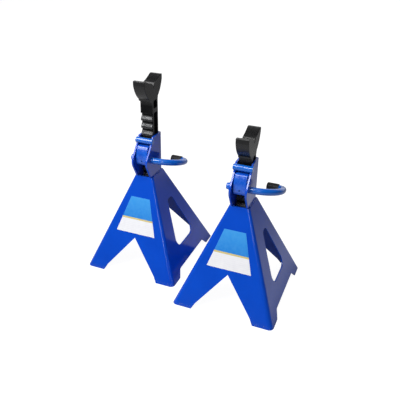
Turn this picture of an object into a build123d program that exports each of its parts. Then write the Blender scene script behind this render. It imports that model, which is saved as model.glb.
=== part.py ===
from build123d import *
import math
import os

# A pair of ratchet jack stands: one raised a few notches, one fully lowered.
# Each stand is built about its own vertical axis and then moved to its place.
# X runs along the pawl rod, with the handle on +X. -Y is the labelled front. Z is up from the floor.
# All lengths are in millimetres and all angles in degrees.

# The pair on the floor
stand_gap_x = 21.0              # between the two bases, along X
stand_offset_y = 54.0           # the raised stand stands this much further back
raised_notches = 4              # notches that the raised stand is up from its lowest

# Ratchet column
column_width = 29.0
column_depth = 34.5             # from tooth crest to back
column_back_y = 17.0
tooth_pitch = 18.4
tooth_depth = 6.0
tooth_land = 5.0                # flat crest height
tooth_slope = 8.0               # height of the sloping upper face
flange_thickness = 5.0          # behind the tooth roots and at the back
web_thickness = 12.0
pocket_corner = 4.0
pocket_length = 87.0
pocket_overrun = 2.0            # top pocket past the saddle's foot
rib_height = 10.0
casting_round = 1.2             # on the long edges of the column and saddle

# Saddle on top of the column
saddle_length = 90.0
saddle_shift_y = -4.0           # saddle centre from the column axis
saddle_clearance = 8.0          # saddle's foot above the neck when lowered
saddle_rise = 55.0              # horn tips above the saddle's foot
saddle_lip_rise = 4.0           # sloping lip, then upright throat, each this high
saddle_front_lip = 8.0          # lip in front of the column
saddle_rear_lip = 1.5           # lip behind the column
saddle_lip_slope = 1.0          # lean of the front lip
rear_lip_slope = 0.5
cheek_hollow = 8.5              # hollow under each horn, in from the horn's outer face
cheek_drop = 20.7               # middle of that hollow below the horn's upright face
horn_top = 7.0                  # flat on each horn
horn_side = 10.0                # upright outer face of each horn
horn_round = 1.5
cradle_depth = 12.5
cradle_middle_depth = 7.75      # half-way down each side of the cradle
groove_width = 10.0
groove_depth = 10.0

# Neck: a channel bent from plate, with ears for the pawl rod
neck_plate = 4.5
neck_height = 99.0              # above the base
neck_corner = 6.0               # outer bend radius
neck_reach_down = 30.0          # below the top of the base
side_clearance = 1.5            # column to channel sides
back_clearance = 0.4            # column to channel back
guide_clearance = 0.5           # tooth crests to the guide plate
guide_height = 20.0
ear_nose = 31.5                 # sharp nose of each ear in front of the pivot
ear_nose_round = 22.0
ear_brow_reach = 6.5            # brow of each ear in front of the bar and below it
ear_brow_drop = 10.0
ear_top_setback = 6.0           # front end of the ear's level top behind the bar
ear_toe = 5.0                   # toe of each ear past the mouth of the base
ear_toe_rise = 2.5
ear_wall_gap = 0.4              # ears over the top edge of the base
ear_edge_round = 0.8
guide_step = 0.5                # ear's lower front corner above the guide plate
guide_step_rise = 5.0
bar_diameter = 14.0
bar_overhang = 1.8              # bar past the channel, each side
bar_clearance = 4.0             # bar above the pawl's top
bar_setback = 5.0               # bar behind the pivot
bar_chamfer = 1.0

# Pawl, rod and handle
pivot_setback = 15.5            # pivot in front of the tooth crests
pivot_height = 44.0             # above the base
rod_diameter = 15.0
rod_clearance = 0.3             # rod to the holes in the ears
fixed_clearance = 0.05          # pieces of one body that are pressed together
pawl_width = 29.0
pawl_barrel_clearance = 0.5     # round lower part to the tooth crests
pawl_back_clearance = 3.0       # upright back to the tooth crests
pawl_height = 34.5              # flat top above the pivot
pawl_top_reach = 6.0            # flat top in front of the pivot
pawl_brow_reach = 13.0          # front face half-way up, in front of the pivot and above it
pawl_brow_rise = 18.5
pawl_tip = 5.0                  # height of the nose's tip
pawl_tip_clearance = 0.7        # nose to the tooth crests when held clear
pawl_throat_run = 4.0           # steep face under the tip
pawl_throat_drop = 6.5
pawl_shoulder_drop = 17.5       # top of the upright back below the tip
pawl_crown_round = 5.0
pawl_edge_round = 1.5
ledge_clearance = 1.0           # first ledge above the pawl's top
handle_clear_run = 2.5          # straight rod past the ear, before the handle curves back
handle_sweep = 56.0             # centreline radius of the long curve
handle_sweep_angle = 99.0
handle_hook = 12.5              # centreline radius of the tight bend after it
handle_return = 24.0            # straight leg after the tight bend
handle_droop = 15.0             # the handle hangs this much below level
rod_stub = 12.5                 # rod past the ear on the plain side
rod_chamfer = 1.2
collar_wall = 3.0
collar_width = 6.0
collar_gap = 0.4
collar_chamfer = 1.0
grip_wall = 2.0
grip_end_wall = 3.0
grip_end_round = 2.8
roll_pin_diameter = 5.0
roll_pin_wall = 0.8
roll_pin_slit = 1.0
roll_pin_recess = 0.6           # each end below the pawl's surface

# Column stop pin
stop_pin_diameter = 7.0
stop_pin_overhang = 4.0         # past the column, each side
stop_pin_chamfer = 0.8
stop_gap = 0.5
column_tail = 7.0               # column below the stop pin
floor_clearance = 4.0           # least gap under the column

# Base: one sheet folded to a hollow pyramid on four feet
base_width = 241.0
base_depth = 266.0
base_height = 235.0
sheet = 3.0
base_corner = 11.0              # outer bend radius at the floor
top_corner = 6.0                # outer bend radius at the top
fit_gap = 0.1                   # neck to the mouth of the base
front_bay = 14.0                # mouth of the base in front of the guide plate
foot_width = 47.4               # front foot along X at the floor
foot_height = 14.0
foot_shoulder = 8.0             # foot's inner edge leans outward by this
arch_height = 92.0              # apex of the front and rear cuts
side_foot_width = 43.3          # side foot along Y at the floor
side_foot_height = 17.0
side_foot_shoulder = 15.5
side_foot_round = 8.0
window_bottom = 58.0
window_top = 170.0
window_bottom_width = 104.0
window_top_width = 24.0
window_bottom_round = 18.0
window_top_round = 11.0

# Label, weld beads
label_bottom = 102.0            # heights above the floor
label_top = 186.0
label_bottom_width = 104.0
label_top_width = 50.0
label_thickness = 0.4
bead = 2.6                      # legs of the fillet welds
bead_crown = 1.6                # middle of the bead out from the corner, both ways
seam_width = 7.0
seam_height = 1.4

overcut = 1.0                   # cutters run this far past what they cut

# ---- Sizes that follow ----
stand_spacing_x = base_width + stand_gap_x
column_half = column_width / 2
column_front_y = column_back_y - column_depth
root_y = column_front_y + tooth_depth
pivot_y = column_front_y - pivot_setback
pivot_z = base_height + pivot_height
neck_inner = column_half + side_clearance
neck_half = neck_inner + neck_plate
neck_back_inner = column_back_y + back_clearance
neck_back = neck_back_inner + neck_plate
neck_top = base_height + neck_height
neck_bottom = base_height - neck_reach_down
guide_y = column_front_y - guide_clearance
guide_top = neck_bottom + guide_height
rod_radius = rod_diameter / 2
grip_radius = rod_radius + grip_wall
collar_radius = rod_radius + collar_wall
bar_radius = bar_diameter / 2
roll_pin_radius = roll_pin_diameter / 2
stop_pin_radius = stop_pin_diameter / 2
pawl_radius = pivot_setback - pawl_barrel_clearance
pawl_back = pivot_setback - pawl_back_clearance
sweep_x = neck_half + handle_clear_run
sweep_turn = math.radians(handle_sweep_angle)
hook_x = sweep_x + (handle_sweep - handle_hook) * math.sin(sweep_turn)
hook_out = handle_sweep - (handle_sweep - handle_hook) * math.cos(sweep_turn)
handle_out = hook_out + handle_hook
pawl_top_z = pivot_z + pawl_height
bar_z = pawl_top_z + bar_radius + bar_clearance
bar_y = pivot_y + bar_setback
first_ledge_z = pawl_top_z + ledge_clearance
saddle_foot_z = neck_top + saddle_clearance
horn_z = saddle_foot_z + saddle_rise

travel_room = neck_bottom - stop_gap - stop_pin_radius - column_tail - floor_clearance
travel_notches = int(travel_room / tooth_pitch)
travel = travel_notches * tooth_pitch
stop_pin_z = neck_bottom - stop_gap - stop_pin_radius - travel
column_bottom = stop_pin_z - column_tail
raised_lift = raised_notches * tooth_pitch

mouth_half = neck_half + fit_gap
mouth_front = guide_y - neck_plate - front_bay
mouth_back = neck_back + fit_gap
side_lean = math.atan((base_width / 2 - mouth_half) / base_height)
wall_run = sheet / math.cos(side_lean)
top_half = mouth_half + wall_run
top_front = mouth_front - wall_run
top_back = mouth_back + wall_run
front_slope = (base_depth / 2 + top_front) / base_height
rear_slope = (base_depth / 2 - top_back) / base_height


def side_profile(points):
    """A closed face in the YZ plane from (y, z) points."""
    return Plane.YZ * make_face(Polyline(*points, close=True))


def across(face, half_width):
    """Extrude a YZ face evenly to both sides of the stand's middle plane."""
    return extrude(face, half_width, both=True)


def x_rod(radius, x_from, x_to, y, z):
    """A round bar along X."""
    return Pos((x_from + x_to) / 2, y, z) * Rot(0, 90, 0) * Cylinder(radius, x_to - x_from)


def about_pivot(y, z):
    """A (y, z) point given from the pawl pivot."""
    return (pivot_y + y, pivot_z + z)


# ---- Base ----
def frustum(half_low, front_low, back_low, round_low, half_high, front_high, back_high, round_high):
    """A four-sided taper with rounded upright corners, from the floor to the top of the base."""
    low = RectangleRounded(2 * half_low, back_low - front_low, round_low)
    high = RectangleRounded(2 * half_high, back_high - front_high, round_high)
    low_face = Pos(0, (front_low + back_low) / 2, 0) * low
    high_face = Pos(0, (front_high + back_high) / 2, base_height) * high
    return loft([low_face, high_face])


def foot_arch():
    """The inverted V between the feet, cut through front and rear walls."""
    inner = base_width / 2 - foot_width
    shoulder = inner - foot_shoulder
    points = [(-inner, 0), (-shoulder, foot_height), (0, arch_height), (shoulder, foot_height), (inner, 0)]
    skirt = [(inner, -foot_height), (-inner, -foot_height)]
    face = Plane.XZ * make_face(Polyline(*points, *skirt, close=True))
    return extrude(face, base_depth, both=True)


def side_gap():
    """The low gap under each side wall, between its two feet."""
    inner = base_depth / 2 - side_foot_width
    shoulder = inner - side_foot_shoulder
    points = [(-inner, 0), (-shoulder, side_foot_height), (shoulder, side_foot_height), (inner, 0)]
    skirt = [(inner, -side_foot_height), (-inner, -side_foot_height)]
    face = make_face(Polyline(*points, *skirt, close=True))
    corners = [v for v in face.vertices() if abs(v.Y - side_foot_height) < 0.01]
    face = fillet(corners, side_foot_round)
    return across(Plane.YZ * face, base_width)


def side_window():
    """The rounded window through both side walls."""
    low = window_bottom_width / 2
    high = window_top_width / 2
    points = [(-low, window_bottom), (low, window_bottom), (high, window_top), (-high, window_top)]
    face = make_face(Polyline(*points, close=True))
    lower = [v for v in face.vertices() if v.Y < (window_bottom + window_top) / 2]
    face = fillet(lower, window_bottom_round)
    upper = face.vertices().sort_by(Axis.Y)[-2:]
    face = fillet(upper, window_top_round)
    return across(Plane.YZ * face, base_width)


def base_shell():
    half = base_width / 2
    depth = base_depth / 2
    outer = frustum(half, -depth, depth, base_corner, top_half, top_front, top_back, top_corner)
    inner_half = half - wall_run
    inner_depth = depth - wall_run
    low_round = base_corner - wall_run
    high_round = top_corner - wall_run
    inner = frustum(inner_half, -inner_depth, inner_depth, low_round,
                    mouth_half, mouth_front, mouth_back, high_round)
    return outer - inner - foot_arch() - side_gap() - side_window()


def wall_plane(slope, facing):
    """The outer plane of the front (facing -1) or rear (facing 1) wall, its origin on the floor line."""
    length = math.hypot(1, slope)
    normal = (0, facing / length, slope / length)
    return Plane(origin=(0, facing * base_depth / 2, 0), x_dir=(-facing, 0, 0), z_dir=normal)


def front_label():
    up = math.hypot(1, front_slope)
    low = label_bottom_width / 2
    high = label_top_width / 2
    points = [(-low, label_bottom * up), (low, label_bottom * up), (high, label_top * up), (-high, label_top * up)]
    face = wall_plane(front_slope, -1) * make_face(Polyline(*points, close=True))
    return extrude(face, label_thickness)


def rear_seam_weld():
    """The bead that closes the folded sheet, down the middle of the rear wall."""
    up = math.hypot(1, rear_slope)
    start = (arch_height + bead) * up
    end = (base_height - bead) * up
    plane = wall_plane(rear_slope, 1)
    section_plane = Plane(origin=plane.from_local_coords((0, start, 0)), x_dir=plane.x_dir, z_dir=plane.y_dir)
    side = -1 if section_plane.y_dir.dot(plane.z_dir) < 0 else 1
    chord = Line((-seam_width / 2, 0), (seam_width / 2, 0))
    crown = ThreePointArc((seam_width / 2, 0), (0, side * seam_height), (-seam_width / 2, 0))
    face = section_plane * make_face(chord + crown)
    return extrude(face, end - start)


# ---- Neck ----
def ear_outline():
    front_in_base = mouth_front + top_corner
    over_wall = base_height + ear_wall_gap
    nose_y = pivot_y - ear_nose
    points = [
        (neck_back, neck_bottom),
        (neck_back, neck_top),
        (bar_y + ear_top_setback, neck_top),
        (bar_y, bar_z),
        (bar_y - ear_brow_reach, bar_z - ear_brow_drop),
        (nose_y, pivot_z),
        (mouth_front - ear_toe, over_wall + ear_toe_rise),
        (front_in_base, over_wall),
        (front_in_base, guide_top + guide_step_rise),
        (guide_y, guide_top + guide_step),
        (guide_y, neck_bottom),
    ]
    face = make_face(Polyline(*points, close=True))
    nose = face.vertices().sort_by(Axis.X)[0]
    return Plane.YZ * fillet(nose, ear_nose_round)


def on_ear_rim(point):
    """Whether an edge's middle lies on the free outline of an ear, above the base and in front of the back."""
    on_face = abs(abs(point.X) - neck_half) < 0.01 or abs(abs(point.X) - neck_inner) < 0.01
    return on_face and point.Z > base_height + bead and point.Y < column_front_y


def neck_channel():
    block = across(ear_outline(), neck_half)
    upright = [e for e in block.edges().filter_by(Axis.Z) if abs(e.center().Y - neck_back) < 0.01]
    block = fillet(upright, neck_corner)
    hollow_depth = neck_back_inner - pivot_y + ear_nose
    hollow = Pos(0, neck_back_inner - hollow_depth / 2, (neck_top + neck_bottom) / 2)
    hollow = hollow * Box(2 * neck_inner, hollow_depth, neck_top - neck_bottom + 2 * overcut)
    inner_edges = [e for e in hollow.edges().filter_by(Axis.Z) if e.center().Y > 0]
    hollow = fillet(inner_edges, neck_corner - neck_plate)
    holes = x_rod(rod_radius + rod_clearance, -2 * neck_half, 2 * neck_half, pivot_y, pivot_z)
    seats = x_rod(bar_radius, -2 * neck_half, 2 * neck_half, bar_y, bar_z)
    channel = block - hollow
    rims = [e for e in channel.edges() if on_ear_rim(e.center())]
    return fillet(rims, ear_edge_round) - holes - seats


def neck_front_bar():
    end = neck_half + bar_overhang
    bar = x_rod(bar_radius, -end, end, bar_y, bar_z)
    return chamfer(bar.edges().filter_by(GeomType.CIRCLE), bar_chamfer)


def column_guide_plate():
    """Closes the channel in front of the column, inside the base."""
    middle_y = guide_y - neck_plate / 2
    return Pos(0, middle_y, (neck_bottom + guide_top) / 2) * Box(2 * neck_half, neck_plate, guide_height)


def neck_welds():
    """Fillet beads where the channel leaves the mouth of the base: two sides and the back."""
    front = mouth_front + top_corner
    back = neck_back - neck_corner
    corner = Line((0, 0), (bead, 0))
    crown = ThreePointArc((bead, 0), (bead_crown, bead_crown), (0, bead))
    section = make_face(corner + crown + Line((0, bead), (0, 0)))
    side_plane = Plane(origin=(neck_half, front, base_height), x_dir=(1, 0, 0), z_dir=(0, -1, 0))
    right = extrude(side_plane * section, -(back - front))
    left = mirror(right, Plane.YZ)
    back_half = neck_half - neck_corner
    back_plane = Plane(origin=(-back_half, neck_back, base_height), x_dir=(0, 1, 0), z_dir=(1, 0, 0))
    rear = extrude(back_plane * section, 2 * back_half)
    return Compound([right, left, rear])


# ---- Column and saddle ----
def tooth_points():
    """The toothed front edge from the first ledge down to the last notch, as (y, z) points."""
    points = []
    for number in range(travel_notches + 1):
        ledge = first_ledge_z - number * tooth_pitch
        crest = ledge - tooth_pitch + tooth_land
        points.append((column_front_y, ledge))
        points.append((root_y, ledge))
        points.append((root_y, crest + tooth_slope))
        points.append((column_front_y, crest))
    return points


def column_blank():
    points = tooth_points()
    points.append((column_front_y, column_bottom))
    points.append((column_back_y, column_bottom))
    points.append((column_back_y, saddle_foot_z + overcut))
    points.append((column_front_y, saddle_foot_z + overcut))
    return across(side_profile(points), column_half)


def column_pockets():
    """Recesses in both sides that leave a web between the front and back flanges."""
    front = root_y + flange_thickness
    back = column_back_y - flange_thickness
    pocket_depth = (column_width - web_thickness) / 2
    spans = [(first_ledge_z + rib_height, saddle_foot_z + pocket_overrun)]
    top = first_ledge_z
    while top - pocket_length > stop_pin_z + stop_pin_diameter:
        spans.append((top - pocket_length, top))
        top -= pocket_length + rib_height
    pockets = []
    for low, high in spans:
        outline = Pos((front + back) / 2, (low + high) / 2) * RectangleRounded(back - front, high - low, pocket_corner)
        cutter = extrude(Plane.YZ * outline, column_width)
        pockets.append(Pos(column_half - pocket_depth, 0, 0) * cutter)
        pockets.append(Pos(-column_half + pocket_depth - column_width, 0, 0) * cutter)
    return pockets


def saddle():
    """Two horns about a shallow cradle with a groove across its middle."""
    middle = saddle_shift_y
    half = saddle_length / 2
    side_low = horn_z - horn_side
    lip = saddle_foot_z + saddle_lip_rise
    throat = lip + saddle_lip_rise
    valley = horn_z - cradle_depth
    front_lip = column_front_y - saddle_front_lip
    rear_lip = column_back_y + saddle_rear_lip
    inner = half - horn_top
    groove = groove_width / 2
    mid_cradle = (inner + groove) / 2
    mid_z = horn_z - cradle_middle_depth
    cheek = half - cheek_hollow
    cheek_z = side_low - cheek_drop
    outline = [
        Line((column_front_y, saddle_foot_z), (front_lip + saddle_lip_slope, lip)),
        Line((front_lip + saddle_lip_slope, lip), (front_lip, throat)),
        ThreePointArc((front_lip, throat), (middle - cheek, cheek_z), (middle - half, side_low)),
        Line((middle - half, side_low), (middle - half, horn_z)),
        Line((middle - half, horn_z), (middle - inner, horn_z)),
        ThreePointArc((middle - inner, horn_z), (middle - mid_cradle, mid_z), (middle - groove, valley)),
        Line((middle - groove, valley), (middle, valley - groove_depth)),
        Line((middle, valley - groove_depth), (middle + groove, valley)),
        ThreePointArc((middle + groove, valley), (middle + mid_cradle, mid_z), (middle + inner, horn_z)),
        Line((middle + inner, horn_z), (middle + half, horn_z)),
        Line((middle + half, horn_z), (middle + half, side_low)),
        ThreePointArc((middle + half, side_low), (middle + cheek, cheek_z), (rear_lip, throat)),
        Line((rear_lip, throat), (rear_lip - rear_lip_slope, lip)),
        Line((rear_lip - rear_lip_slope, lip), (column_back_y, saddle_foot_z)),
        Line((column_back_y, saddle_foot_z), (column_front_y, saddle_foot_z)),
    ]
    face = make_face(Curve() + outline)
    tips = [v for v in face.vertices() if abs(v.Y - horn_z) < 0.01]
    face = fillet(tips, horn_round)
    return across(Plane.YZ * face, column_half)


def column():
    casting = column_blank() + saddle()
    long_edges = [e for e in casting.edges() if abs(abs(e.center().X) - column_half) < 0.01]
    casting = fillet(long_edges, casting_round)
    for pocket in column_pockets():
        casting -= pocket
    pin_hole = x_rod(stop_pin_radius + fixed_clearance, -column_width, column_width, 0, stop_pin_z)
    return casting - pin_hole


def column_stop_pin():
    end = column_half + stop_pin_overhang
    pin = x_rod(stop_pin_radius, -end, end, 0, stop_pin_z)
    return chamfer(pin.edges().filter_by(GeomType.CIRCLE), stop_pin_chamfer)


# ---- Pawl and handle ----
def roll_pin_bore(radius):
    """A round cutter along Y through the pawl and the rod at the pivot."""
    return Pos(0, pivot_y, pivot_z) * Rot(90, 0, 0) * Cylinder(radius, 4 * pawl_radius)


def pawl():
    tip_y = pivot_setback - pawl_tip_clearance
    tip_low = pawl_height - pawl_tip
    throat_y = tip_y - pawl_throat_run
    throat_z = tip_low - pawl_throat_drop
    shoulder_z = tip_low - pawl_shoulder_drop
    tail_z = -math.sqrt(pawl_radius ** 2 - pawl_back ** 2)
    top_front = about_pivot(-pawl_top_reach, pawl_height)
    brow = about_pivot(-pawl_brow_reach, pawl_brow_rise)
    barrel_front = about_pivot(-pawl_radius, 0)
    outline = [
        Line(top_front, about_pivot(tip_y, pawl_height)),
        Line(about_pivot(tip_y, pawl_height), about_pivot(tip_y, tip_low)),
        Line(about_pivot(tip_y, tip_low), about_pivot(throat_y, throat_z)),
        Line(about_pivot(throat_y, throat_z), about_pivot(pawl_back, shoulder_z)),
        Line(about_pivot(pawl_back, shoulder_z), about_pivot(pawl_back, tail_z)),
        ThreePointArc(about_pivot(pawl_back, tail_z), about_pivot(0, -pawl_radius), barrel_front),
        ThreePointArc(barrel_front, brow, top_front),
    ]
    face = make_face(Curve() + outline)
    crown = face.vertices().sort_by_distance((*top_front, 0))[0]
    face = fillet(crown, pawl_crown_round)
    body = across(Plane.YZ * face, pawl_width / 2)
    long_edges = [e for e in body.edges() if abs(abs(e.center().X) - pawl_width / 2) < 0.01]
    body = fillet(long_edges, pawl_edge_round)
    bore = x_rod(rod_radius + fixed_clearance, -pawl_width, pawl_width, pivot_y, pivot_z)
    return body - bore - roll_pin_bore(roll_pin_radius + fixed_clearance)


def pawl_roll_pin():
    """A slit spring pin that ties the pawl to the rod."""
    length = pawl_radius + pawl_back - 2 * roll_pin_recess
    radius = roll_pin_radius
    tube = Cylinder(radius, length) - Cylinder(radius - roll_pin_wall, length)
    slit = Pos(radius, 0, 0) * Box(2 * radius, roll_pin_slit, length)
    middle = (pawl_back - pawl_radius) / 2
    return Pos(0, pivot_y + middle, pivot_z) * Rot(90, 0, 0) * (tube - slit)


def handle_point(x, out):
    """A point of the handle: x along the rod, out from its axis in the handle's own plane."""
    droop = math.radians(handle_droop)
    return (x, pivot_y + out * math.cos(droop), pivot_z - out * math.sin(droop))


def turned(centre_x, centre_out, radius, angle):
    """A point on a bend of the handle, where the rod heads angle degrees away from +X."""
    heading = math.radians(angle)
    return handle_point(centre_x + radius * math.sin(heading), centre_out - radius * math.cos(heading))


def handle_rod():
    start = handle_point(-neck_half - rod_stub, 0)
    sweep_mid = turned(sweep_x, handle_sweep, handle_sweep, handle_sweep_angle / 2)
    sweep_end = turned(sweep_x, handle_sweep, handle_sweep, handle_sweep_angle)
    hook_mid = turned(hook_x, hook_out, handle_hook, (handle_sweep_angle + 180) / 2)
    hook_end = turned(hook_x, hook_out, handle_hook, 180)
    end = handle_point(hook_x - handle_return, handle_out)
    path = Curve() + [
        Line(start, handle_point(sweep_x, 0)),
        ThreePointArc(handle_point(sweep_x, 0), sweep_mid, sweep_end),
        ThreePointArc(sweep_end, hook_mid, hook_end),
        Line(hook_end, end),
    ]
    section = Plane(origin=start, z_dir=(1, 0, 0)) * Circle(rod_radius)
    rod = sweep(section, path=path)
    plain_end = rod.edges().filter_by(GeomType.CIRCLE).sort_by(Axis.X)[0]
    rod = chamfer(plain_end, rod_chamfer)
    return rod - roll_pin_bore(roll_pin_radius + fixed_clearance)


def handle_grip():
    """A closed cap pushed on the returning leg."""
    leg_end = hook_x - handle_return
    closed_end = leg_end - grip_end_wall
    _, y, z = handle_point(0, handle_out)
    outer = x_rod(grip_radius, closed_end, hook_x, y, z)
    rims = outer.edges().filter_by(GeomType.CIRCLE).sort_by(Axis.X)
    outer = fillet(rims[0], grip_end_round)
    bore = x_rod(rod_radius + fixed_clearance, leg_end, hook_x + overcut, y, z)
    return outer - bore


def handle_end_collar():
    inner_x = -neck_half - collar_gap
    outer_x = inner_x - collar_width
    ring = x_rod(collar_radius, outer_x, inner_x, pivot_y, pivot_z)
    ring = chamfer(ring.edges().filter_by(GeomType.CIRCLE), collar_chamfer)
    bore = x_rod(rod_radius + fixed_clearance, outer_x - overcut, inner_x + overcut, pivot_y, pivot_z)
    return ring - bore


# ---- Both stands ----
fixed_pieces = {
    "base_shell": base_shell(),
    "rear_seam_weld": rear_seam_weld(),
    "front_label": front_label(),
    "neck_channel": neck_channel(),
    "neck_welds": neck_welds(),
    "neck_front_bar": neck_front_bar(),
    "column_guide_plate": column_guide_plate(),
    "pawl": pawl(),
    "pawl_roll_pin": pawl_roll_pin(),
    "handle_rod": handle_rod(),
    "handle_grip": handle_grip(),
    "handle_end_collar": handle_end_collar(),
}
lifted_pieces = {
    "column": column(),
    "column_stop_pin": column_stop_pin(),
}
stands = {
    "raised": (Pos(-stand_spacing_x / 2, stand_offset_y / 2, 0), raised_lift),
    "lowered": (Pos(stand_spacing_x / 2, -stand_offset_y / 2, 0), 0.0),
}

os.makedirs("parts", exist_ok=True)
for stand, (place, lift) in stands.items():
    for name, piece in fixed_pieces.items():
        export_step(place * piece, f"parts/{stand}_{name}.step")
    for name, piece in lifted_pieces.items():
        export_step(place * Pos(0, 0, lift) * piece, f"parts/{stand}_{name}.step")
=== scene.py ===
import math

import bmesh
import bpy
from mathutils import Matrix, Vector


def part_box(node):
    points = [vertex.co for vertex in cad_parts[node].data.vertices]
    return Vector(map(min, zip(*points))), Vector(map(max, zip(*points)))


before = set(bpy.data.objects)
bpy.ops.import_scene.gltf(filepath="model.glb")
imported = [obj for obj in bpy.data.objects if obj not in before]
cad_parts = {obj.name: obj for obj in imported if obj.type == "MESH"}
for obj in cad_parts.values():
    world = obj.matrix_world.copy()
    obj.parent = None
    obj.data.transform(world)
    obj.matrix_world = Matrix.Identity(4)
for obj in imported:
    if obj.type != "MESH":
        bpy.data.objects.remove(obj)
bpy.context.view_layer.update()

# A pair of ratchet jack stands on a pale floor: glossy blue bases and necks, black cast columns.
MM = 0.001
STANDS = ("raised", "lowered")

# Camera: place in metres, turns in degrees, lens and sensor in millimetres
CAMERA_PLACE = (0.4042, -1.0115, 0.7737)
CAMERA_AZIMUTH = 21.153
CAMERA_ELEVATION = 28.061
CAMERA_ROLL = 1.359
CAMERA_LENS = 45.99
CAMERA_SENSOR = 36.0

# Floor: its size in metres, and how brightly it lights the stands and shows to the camera
FLOOR_SIZE = 14.0
FLOOR_DROP = 0.02 * MM
FLOOR_GLOW = 0.42
UNDER_STAND_GLOW = 0.12
FAR_GLOW = 0.45
FLOOR_WHITE = 0.96

# Softboxes: name, place, height of the point above the origin that they face, width, height, watts
SOFTBOXES = (
    ("overhead_box", (-0.25, -0.55, 2.1), 0.15, 2.2, 1.7, 13),
    ("strip_box", (-0.55, -0.85, 1.75), 0.25, 1.3, 0.35, 20),
    ("front_box", (-1.5, -1.7, 1.9), 0.2, 1.2, 1.2, 25),
    ("glint_box", (-0.78, -2.0, 1.45), 0.28, 0.40, 0.30, 5),
    ("bend_box", (1.0, -2.4, 1.34), 0.25, 0.22, 0.55, 5),
)

# Edge rounds on cut sheet and bar, with the angles in degrees that count as flat and as an edge
EDGE_ROUNDS = {"base_shell": 0.7 * MM, "neck_front_bar": 0.6 * MM}
EDGE_SEGMENTS = 2
FLAT_ANGLE = 0.6
EDGE_ANGLE = 50

# Welds: grain of the lumps and how far they swell
WELD_LUMPS = {"neck_welds": (2.2 * MM, 0.9 * MM), "rear_seam_weld": (2.8 * MM, 0.8 * MM)}
WELD_SKIN = 0.35 * MM

# Sockets of a Mix node that mixes colours, and of one that mixes numbers
MIX_COLOUR_IN = (6, 7)
MIX_COLOUR_OUT = 2
MIX_FACTOR = 0
MIX_NUMBER_IN = (2, 3)


# ---- Node helpers ----
class Shader:
    """A material's node tree with short calls for the nodes used here."""

    def __init__(self, name):
        self.material = bpy.data.materials.new(name)
        self.material.use_nodes = True
        self.tree = self.material.node_tree
        self.surface = self.tree.nodes["Principled BSDF"]
        self.place = self.tree.nodes.new("ShaderNodeTexCoord").outputs["Object"]

    def node(self, kind, **settings):
        made = self.tree.nodes.new(kind)
        for key, value in settings.items():
            setattr(made, key, value)
        return made

    def link(self, source, socket):
        if isinstance(source, (int, float, tuple)):
            socket.default_value = source
        else:
            self.tree.links.new(source, socket)

    def scaled(self, x, y, z):
        made = self.node("ShaderNodeMapping")
        made.inputs["Scale"].default_value = (x, y, z)
        self.link(self.place, made.inputs["Vector"])
        return made.outputs["Vector"]

    def noise(self, scale, detail=3.0, roughness=0.5, vector=None):
        made = self.node("ShaderNodeTexNoise")
        self.link(vector or self.place, made.inputs["Vector"])
        made.inputs["Scale"].default_value = scale
        made.inputs["Detail"].default_value = detail
        made.inputs["Roughness"].default_value = roughness
        return made.outputs["Fac"]

    def cells(self, scale):
        made = self.node("ShaderNodeTexVoronoi")
        self.link(self.place, made.inputs["Vector"])
        made.inputs["Scale"].default_value = scale
        return made.outputs["Distance"]

    def ramp(self, value, low, high, out_low=0.0, out_high=1.0):
        made = self.node("ShaderNodeMapRange")
        self.link(value, made.inputs["Value"])
        limits = {"From Min": low, "From Max": high, "To Min": out_low, "To Max": out_high}
        for name, number in limits.items():
            made.inputs[name].default_value = number
        return made.outputs["Result"]

    def mottle(self, scale, detail=4, out_low=0.0, out_high=1.0):
        """Soft clouds between two values."""
        return self.ramp(self.noise(scale, detail), 0.3, 0.7, out_low, out_high)

    def math(self, operation, a, b=0.0):
        made = self.node("ShaderNodeMath", operation=operation)
        self.link(a, made.inputs[0])
        self.link(b, made.inputs[1])
        return made.outputs["Value"]

    def times(self, a, b):
        return self.math("MULTIPLY", a, b)

    def mix(self, factor, a, b):
        made = self.node("ShaderNodeMix", data_type="RGBA")
        self.link(factor, made.inputs["Factor"])
        for source, index in zip((a, b), MIX_COLOUR_IN):
            self.link((*source, 1.0) if isinstance(source, tuple) else source, made.inputs[index])
        return made.outputs[MIX_COLOUR_OUT]

    def axis(self, name):
        made = self.node("ShaderNodeSeparateXYZ")
        self.link(self.place, made.inputs[0])
        return made.outputs[name]

    def edges(self, radius, low, high):
        """One along the sharp edges of a piece, falling to zero within the radius."""
        rounded = self.node("ShaderNodeBevel", samples=6)
        rounded.inputs["Radius"].default_value = radius
        flat = self.node("ShaderNodeNewGeometry").outputs["Normal"]
        agree = self.node("ShaderNodeVectorMath", operation="DOT_PRODUCT")
        self.link(rounded.outputs["Normal"], agree.inputs[0])
        self.link(flat, agree.inputs[1])
        return self.ramp(agree.outputs["Value"], 1.0 - low, 1.0 - high)

    def bump(self, height, strength, distance, below=None):
        made = self.node("ShaderNodeBump")
        made.inputs["Strength"].default_value = strength
        made.inputs["Distance"].default_value = distance
        self.link(height, made.inputs["Height"])
        if below is not None:
            self.link(below, made.inputs["Normal"])
        return made.outputs["Normal"]

    def finish(self, colour, roughness, normal, metallic=0.0, **constants):
        self.link(colour, self.surface.inputs["Base Color"])
        self.link(roughness, self.surface.inputs["Roughness"])
        self.link(normal, self.surface.inputs["Normal"])
        self.link(metallic, self.surface.inputs["Metallic"])
        for key, value in constants.items():
            self.surface.inputs[key.replace("_", " ")].default_value = value
        return self.material


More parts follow.
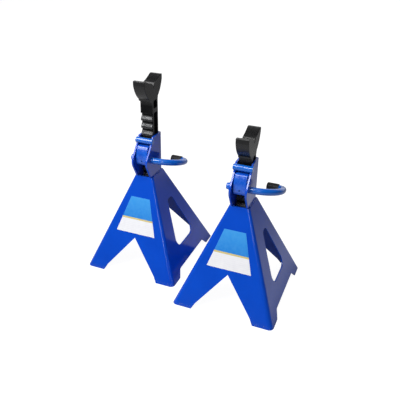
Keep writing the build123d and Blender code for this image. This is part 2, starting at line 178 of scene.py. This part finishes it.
# ---- Materials ----
def blue_enamel(name, deep, pale, coat):
    """Sprayed gloss enamel with faint orange peel, dust nibs, scuffs by the floor, and lighter edges that
    are partly thin paint and partly painted highlight.
    """
    scuffed = (0.16, 0.19, 0.27)
    thin_paint_and_highlight = (0.07, 0.27, 0.88)
    scuff_height = 10 * MM
    s = Shader(name)
    colour = s.mix(s.mottle(14), deep, pale)
    near_floor = s.ramp(s.axis("Z"), scuff_height, 0.0)
    scuff = s.times(near_floor, s.ramp(s.noise(420, 6, 0.7), 0.54, 0.62))
    colour = s.mix(scuff, colour, scuffed)
    patchy = s.ramp(s.noise(260, 4), 0.3, 0.6, 0.3, 0.9)
    # Lighter blue along the sharp edges: partly paint worn thin on the edges, partly painted highlight
    # where the edges catch the light.
    colour = s.mix(s.times(s.edges(0.9 * MM, 0.03, 0.2), patchy), colour, thin_paint_and_highlight)
    dust = s.ramp(s.cells(210), 0.0, 0.05, 1.0, 0.0)
    nibs = s.times(dust, s.ramp(s.noise(60), 0.55, 0.65))
    peel = s.noise(520, 2, 0.4)
    waves = s.noise(45, 2, 0.4)
    roughness = s.math("ADD", s.mottle(90, 5, 0.10, 0.17), s.times(scuff, 0.4))
    normal = s.bump(waves, 0.10, 1.2 * MM)
    normal = s.bump(peel, 0.10, 0.3 * MM, normal)
    normal = s.bump(nibs, 0.15, 0.2 * MM, normal)
    return s.finish(colour, roughness, normal, Coat_Weight=coat, Coat_Roughness=0.04, IOR=1.5)


def painted_casting():
    """A lighter blue enamel over a rough casting, rubbed in places and grainy."""
    deep, pale = (0.003, 0.075, 0.55), (0.008, 0.13, 0.70)
    rubbed_blue = (0.10, 0.22, 0.62)
    s = Shader("painted_casting")
    colour = s.mix(s.mottle(60), deep, pale)
    rubbed = s.times(s.ramp(s.noise(900, 4, 0.7), 0.6, 0.68), s.ramp(s.noise(120, 3), 0.5, 0.62))
    colour = s.mix(rubbed, colour, rubbed_blue)
    roughness = s.mottle(240, 5, 0.16, 0.34)
    normal = s.bump(s.noise(150, 4), 0.35, 0.9 * MM)
    normal = s.bump(s.noise(900, 3), 0.25, 0.3 * MM, normal)
    return s.finish(colour, roughness, normal, Coat_Weight=0.70, Coat_Roughness=0.10, IOR=1.5)


def black_casting(stand):
    """Black paint on a sand casting. The teeth get bare grey iron that is partly wear and partly painted
    highlight. The rims and horn tops get bare grey iron as painted highlight. The front below the saddle
    gets low shine as painted shade.
    """
    deep, pale = (0.0035, 0.0037, 0.0042), (0.0075, 0.0078, 0.0085)
    bare_iron_and_highlight = (0.13, 0.133, 0.137)
    crest_gap, ledge_gap, ledge_blur = 0.5 * MM, 1.0 * MM, 0.4 * MM
    tooth_band_from, tooth_band_by = 5.0 * MM, 3.2 * MM
    top_highlight_from, top_highlight_by = 1.0 * MM, 0.2 * MM
    shade_depth_end, shade_depth_full = 10 * MM, 7 * MM
    shade_start, shade_full = 56 * MM, 64 * MM
    s = Shader(f"{stand}_black_casting")

    # The crests stand just behind the guide plate, and the first tooth starts just above the pawl
    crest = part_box(f"{stand}_column_guide_plate")[1].y + crest_gap
    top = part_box(f"{stand}_column")[1].z
    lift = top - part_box("lowered_column")[1].z
    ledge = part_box("lowered_pawl")[1].z + ledge_gap + lift

    # Grey on the tooth faces below the pawl's tooth: partly bare worn iron, partly painted highlight on
    # the tooth slopes that face up to the light.
    on_tooth = s.ramp(s.axis("Y"), crest + tooth_band_from, crest + tooth_band_by)
    below_ledge = s.ramp(s.axis("Z"), ledge + ledge_blur, ledge - ledge_blur)
    streaks = s.noise(1.0, 5, 0.75, s.scaled(700, 420, 300))
    tooth_wear_and_highlight = s.times(s.times(on_tooth, below_ledge), s.ramp(streaks, 0.45, 0.62))
    # Painted highlight: bare grey iron along the horn tops and the sharp rims, where the light catches
    # them.
    at_top = s.ramp(s.axis("Z"), top - top_highlight_from, top - top_highlight_by)
    top_highlight = s.times(at_top, s.ramp(s.noise(420, 5, 0.7), 0.5, 0.62))
    rim_highlight = s.times(s.edges(1.4 * MM, 0.02, 0.12), s.ramp(s.noise(300, 5, 0.7), 0.38, 0.6))
    wear_and_highlight = s.math("MAXIMUM", tooth_wear_and_highlight, s.times(s.math("MAXIMUM", top_highlight, rim_highlight), 0.45))
    colour = s.mix(wear_and_highlight, s.mix(s.mottle(50), deep, pale), bare_iron_and_highlight)

    # Painted shade: the front face below the saddle gets little shine, so it reads darker.
    in_front = s.ramp(s.axis("Y"), crest + shade_depth_end, crest + shade_depth_full)
    below_saddle = s.ramp(s.axis("Z"), top - shade_start, top - shade_full)
    low_shine_shade = s.times(s.times(in_front, below_saddle), s.math("SUBTRACT", 1.0, wear_and_highlight))
    s.link(s.ramp(low_shine_shade, 0.0, 1.0, 0.5, 0.10), s.surface.inputs["Specular IOR Level"])

    roughness = s.mottle(300, 5, 0.22, 0.36)
    normal = s.bump(s.noise(260, 5, 0.6), 0.35, 0.6 * MM)
    normal = s.bump(s.noise(1500, 3), 0.3, 0.2 * MM, normal)
    return s.finish(colour, roughness, normal, s.times(wear_and_highlight, 0.7), IOR=1.5)


def grip_vinyl():
    """Matt dipped vinyl with a fine grain."""
    deep, pale = (0.007, 0.007, 0.0075), (0.014, 0.014, 0.015)
    s = Shader("grip_vinyl")
    colour = s.mix(s.mottle(200), deep, pale)
    roughness = s.mottle(500, 4, 0.5, 0.65)
    normal = s.bump(s.noise(1400, 3), 0.3, 0.3 * MM)
    normal = s.bump(s.noise(160, 3), 0.2, 0.6 * MM, normal)
    return s.finish(colour, roughness, normal, IOR=1.5)


def plain_steel():
    """Turned steel with fine rings and light oxide."""
    oxide, bright = (0.20, 0.20, 0.21), (0.34, 0.34, 0.35)
    s = Shader("plain_steel")
    rings = s.noise(1.0, 4, 0.6, s.scaled(2600, 60, 60))
    colour = s.mix(s.ramp(s.noise(180, 4), 0.35, 0.7), oxide, bright)
    roughness = s.ramp(rings, 0.3, 0.7, 0.26, 0.44)
    normal = s.bump(rings, 0.2, 0.2 * MM)
    return s.finish(colour, roughness, normal, 1.0)


def label_film():
    """A bare printed film: a light blue panel, a thin yellow strip and a white panel, nothing written."""
    white_share, yellow_share = 0.385, 0.045
    print_edge = 0.15 * MM
    rule_spacing = 4.2 * MM
    rule_grey = (0.45, 0.50, 0.62)
    s = Shader("label_film")
    low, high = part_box("lowered_front_label")
    height = high.z - low.z
    panel_top = low.z + white_share * height
    strip_top = panel_top + yellow_share * height
    z = s.axis("Z")
    white = s.mix(s.mottle(90), (0.82, 0.82, 0.86), (0.87, 0.87, 0.90))
    rules = s.ramp(s.math("SINE", s.times(z, 2 * math.pi / rule_spacing)), 0.8, 0.95)
    white = s.mix(s.times(rules, 0.12), white, rule_grey)
    yellow = s.mix(s.mottle(300), (0.60, 0.48, 0.16), (0.70, 0.60, 0.28))
    blue = s.mix(s.ramp(z, strip_top, high.z), (0.014, 0.21, 0.68), (0.040, 0.32, 0.78))
    blue = s.mix(s.ramp(s.noise(150, 4), 0.35, 0.75, 0.0, 0.25), blue, (0.10, 0.42, 0.80))
    colour = s.mix(s.ramp(z, panel_top - print_edge, panel_top + print_edge), white, yellow)
    colour = s.mix(s.ramp(z, strip_top - print_edge, strip_top + print_edge), colour, blue)
    roughness = s.mottle(120, 4, 0.28, 0.4)
    normal = s.bump(s.noise(55, 3), 0.12, 0.6 * MM)
    normal = s.bump(s.noise(900, 2), 0.05, 0.2 * MM, normal)
    return s.finish(colour, roughness, normal, IOR=1.45)


def floor_glow(s):
    """The light that the floor gives back: little under each stand, and less far away."""
    glow = FLOOR_GLOW
    for stand in STANDS:
        low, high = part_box(f"{stand}_base_shell")
        middle, reach = (low + high) / 2, (high - low) / 2
        aside_x = s.math("ABSOLUTE", s.math("SUBTRACT", s.axis("X"), middle.x))
        aside_y = s.math("ABSOLUTE", s.math("SUBTRACT", s.axis("Y"), middle.y))
        away = s.math("MAXIMUM", s.math("DIVIDE", aside_x, reach.x), s.math("DIVIDE", aside_y, reach.y))
        glow = s.times(s.ramp(away, 0.75, 1.45, UNDER_STAND_GLOW, 1.0), glow)
    from_centre = s.node("ShaderNodeVectorMath", operation="LENGTH")
    s.link(s.place, from_centre.inputs[0])
    return s.times(glow, s.ramp(from_centre.outputs["Value"], 0.40, 1.0, 1.0, FAR_GLOW))


def studio_floor():
    """Pale paper that shows as plain white."""
    s = Shader("studio_floor")
    tone = s.mix(s.mottle(2.5), (0.20, 0.20, 0.205), (0.23, 0.23, 0.235))
    roughness = s.mottle(30, 4, 0.75, 0.9)
    normal = s.bump(s.noise(400, 2), 0.02, 0.2 * MM)
    seen = s.node("ShaderNodeLightPath").outputs["Is Camera Ray"]
    glow = floor_glow(s)
    shown = s.math("ADD", glow, s.times(seen, s.math("SUBTRACT", FLOOR_WHITE, glow)))
    s.link(shown, s.surface.inputs["Emission Strength"])
    return s.finish(tone, roughness, normal, Emission_Color=(1, 1, 1, 1))


enamel = blue_enamel("sheet_enamel", (0.0018, 0.063, 0.53), (0.0026, 0.075, 0.60), 0.10)
# Painted highlight: a lighter copy of the sheet enamel for the bar, rod, collar and roll pin. Its lighter
# blue stands in for the highlights on these rounds, and its thicker coat gives them more real shine.
highlit_bar_enamel = blue_enamel("highlit_bar_enamel", (0.003, 0.115, 0.58), (0.006, 0.15, 0.66), 0.70)
casting_paint = painted_casting()
vinyl = grip_vinyl()
steel = plain_steel()
film = label_film()


# ---- CAD pieces get their finish ----
def dress(node, material):
    """Gives a CAD piece its only material."""
    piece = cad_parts[node]
    piece.data.materials.clear()
    piece.data.materials.append(material)


def soften(node, width):
    """Small rounds on the cut edges of a sheet or bar."""
    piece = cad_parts[node]
    flats = piece.modifiers.new("join_flats", "DECIMATE")
    flats.decimate_type = "DISSOLVE"
    flats.angle_limit = math.radians(FLAT_ANGLE)
    edge = piece.modifiers.new("edge_round", "BEVEL")
    edge.width = width
    edge.segments = EDGE_SEGMENTS
    edge.limit_method = "ANGLE"
    edge.angle_limit = math.radians(EDGE_ANGLE)
    edge.harden_normals = True


def roughen_bead(node, grain, height):
    """The lumps of a hand-laid weld."""
    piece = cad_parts[node]
    skin = piece.modifiers.new("fine_skin", "REMESH")
    skin.mode = "VOXEL"
    skin.voxel_size = WELD_SKIN
    skin.use_smooth_shade = True
    lumps = bpy.data.textures.new(f"{node}_lumps", "CLOUDS")
    lumps.noise_scale = grain
    swell = piece.modifiers.new("lumps", "DISPLACE")
    swell.texture = lumps
    swell.strength = height
    swell.mid_level = 0.5


for stand in STANDS:
    for name, (grain, height) in WELD_LUMPS.items():
        roughen_bead(f"{stand}_{name}", grain, height)
    for name, width in EDGE_ROUNDS.items():
        soften(f"{stand}_{name}", width)

for stand in STANDS:
    finishes = {
        "base_shell": enamel,
        "rear_seam_weld": enamel,
        "front_label": film,
        "neck_channel": enamel,
        "neck_welds": enamel,
        "neck_front_bar": highlit_bar_enamel,
        "column_guide_plate": enamel,
        "column": black_casting(stand),
        "column_stop_pin": steel,
        "pawl": casting_paint,
        "pawl_roll_pin": highlit_bar_enamel,
        "handle_rod": highlit_bar_enamel,
        "handle_grip": vinyl,
        "handle_end_collar": highlit_bar_enamel,
    }
    for name, material in finishes.items():
        dress(f"{stand}_{name}", material)


# ---- Stage, light and camera ----
def add_floor():
    """A wide sheet of paper just under the feet."""
    mesh = bpy.data.meshes.new("studio_floor")
    made = bmesh.new()
    bmesh.ops.create_grid(made, x_segments=8, y_segments=8, size=FLOOR_SIZE / 2)
    made.to_mesh(mesh)
    made.free()
    floor = bpy.data.objects.new("studio_floor", mesh)
    floor.location.z = -FLOOR_DROP
    floor.data.materials.append(studio_floor())
    bpy.context.scene.collection.objects.link(floor)


def add_softbox(name, place, aim_height, width, height, power):
    """A rectangular area light that faces a point above the origin."""
    light = bpy.data.lights.new(name, "AREA")
    light.shape = "RECTANGLE"
    light.size, light.size_y = width, height
    light.energy = power
    holder = bpy.data.objects.new(name, light)
    holder.location = place
    aim = Vector((0, 0, aim_height)) - Vector(place)
    holder.rotation_euler = aim.to_track_quat("-Z", "Y").to_euler()
    bpy.context.scene.collection.objects.link(holder)


def add_world():
    """White to the camera; to the object a dim room that is bright behind it."""
    world = bpy.data.worlds.new("studio")
    bpy.context.scene.world = world
    world.use_nodes = True
    tree = world.node_tree
    back = tree.nodes["Background"]
    place = tree.nodes.new("ShaderNodeTexCoord").outputs["Generated"]
    split = tree.nodes.new("ShaderNodeSeparateXYZ")
    tree.links.new(place, split.inputs[0])
    rear = tree.nodes.new("ShaderNodeMapRange")
    tree.links.new(split.outputs["Y"], rear.inputs["Value"])
    for name, number in (("From Min", 0.60), ("From Max", 0.88), ("To Min", 0.05), ("To Max", 0.85)):
        rear.inputs[name].default_value = number
    seen = tree.nodes.new("ShaderNodeLightPath").outputs["Is Camera Ray"]
    strength = tree.nodes.new("ShaderNodeMix")
    to_object, to_camera = MIX_NUMBER_IN
    tree.links.new(seen, strength.inputs[MIX_FACTOR])
    tree.links.new(rear.outputs["Result"], strength.inputs[to_object])
    strength.inputs[to_camera].default_value = 1.0
    tree.links.new(strength.outputs[0], back.inputs["Strength"])
    back.inputs["Color"].default_value = (1, 1, 1, 1)


def add_camera():
    data = bpy.data.cameras.new("camera")
    data.lens = CAMERA_LENS
    data.sensor_width = CAMERA_SENSOR
    data.clip_start, data.clip_end = 0.01, 50.0
    camera = bpy.data.objects.new("camera", data)
    azimuth, elevation, roll = map(math.radians, (CAMERA_AZIMUTH, CAMERA_ELEVATION, CAMERA_ROLL))
    level = math.cos(elevation)
    back = Vector((math.sin(azimuth) * level, -math.cos(azimuth) * level, math.sin(elevation)))
    right = Vector((math.cos(azimuth), math.sin(azimuth), 0))
    up = back.cross(right)
    across = right * math.cos(roll) + up * math.sin(roll)
    upward = up * math.cos(roll) - right * math.sin(roll)
    turn = Matrix((across, upward, back)).transposed().to_4x4()
    camera.matrix_world = Matrix.Translation(CAMERA_PLACE) @ turn
    bpy.context.scene.collection.objects.link(camera)
    bpy.context.scene.camera = camera


add_floor()
add_world()
for softbox in SOFTBOXES:
    add_softbox(*softbox)
add_camera()
bpy.context.scene.view_settings.view_transform = "Standard"
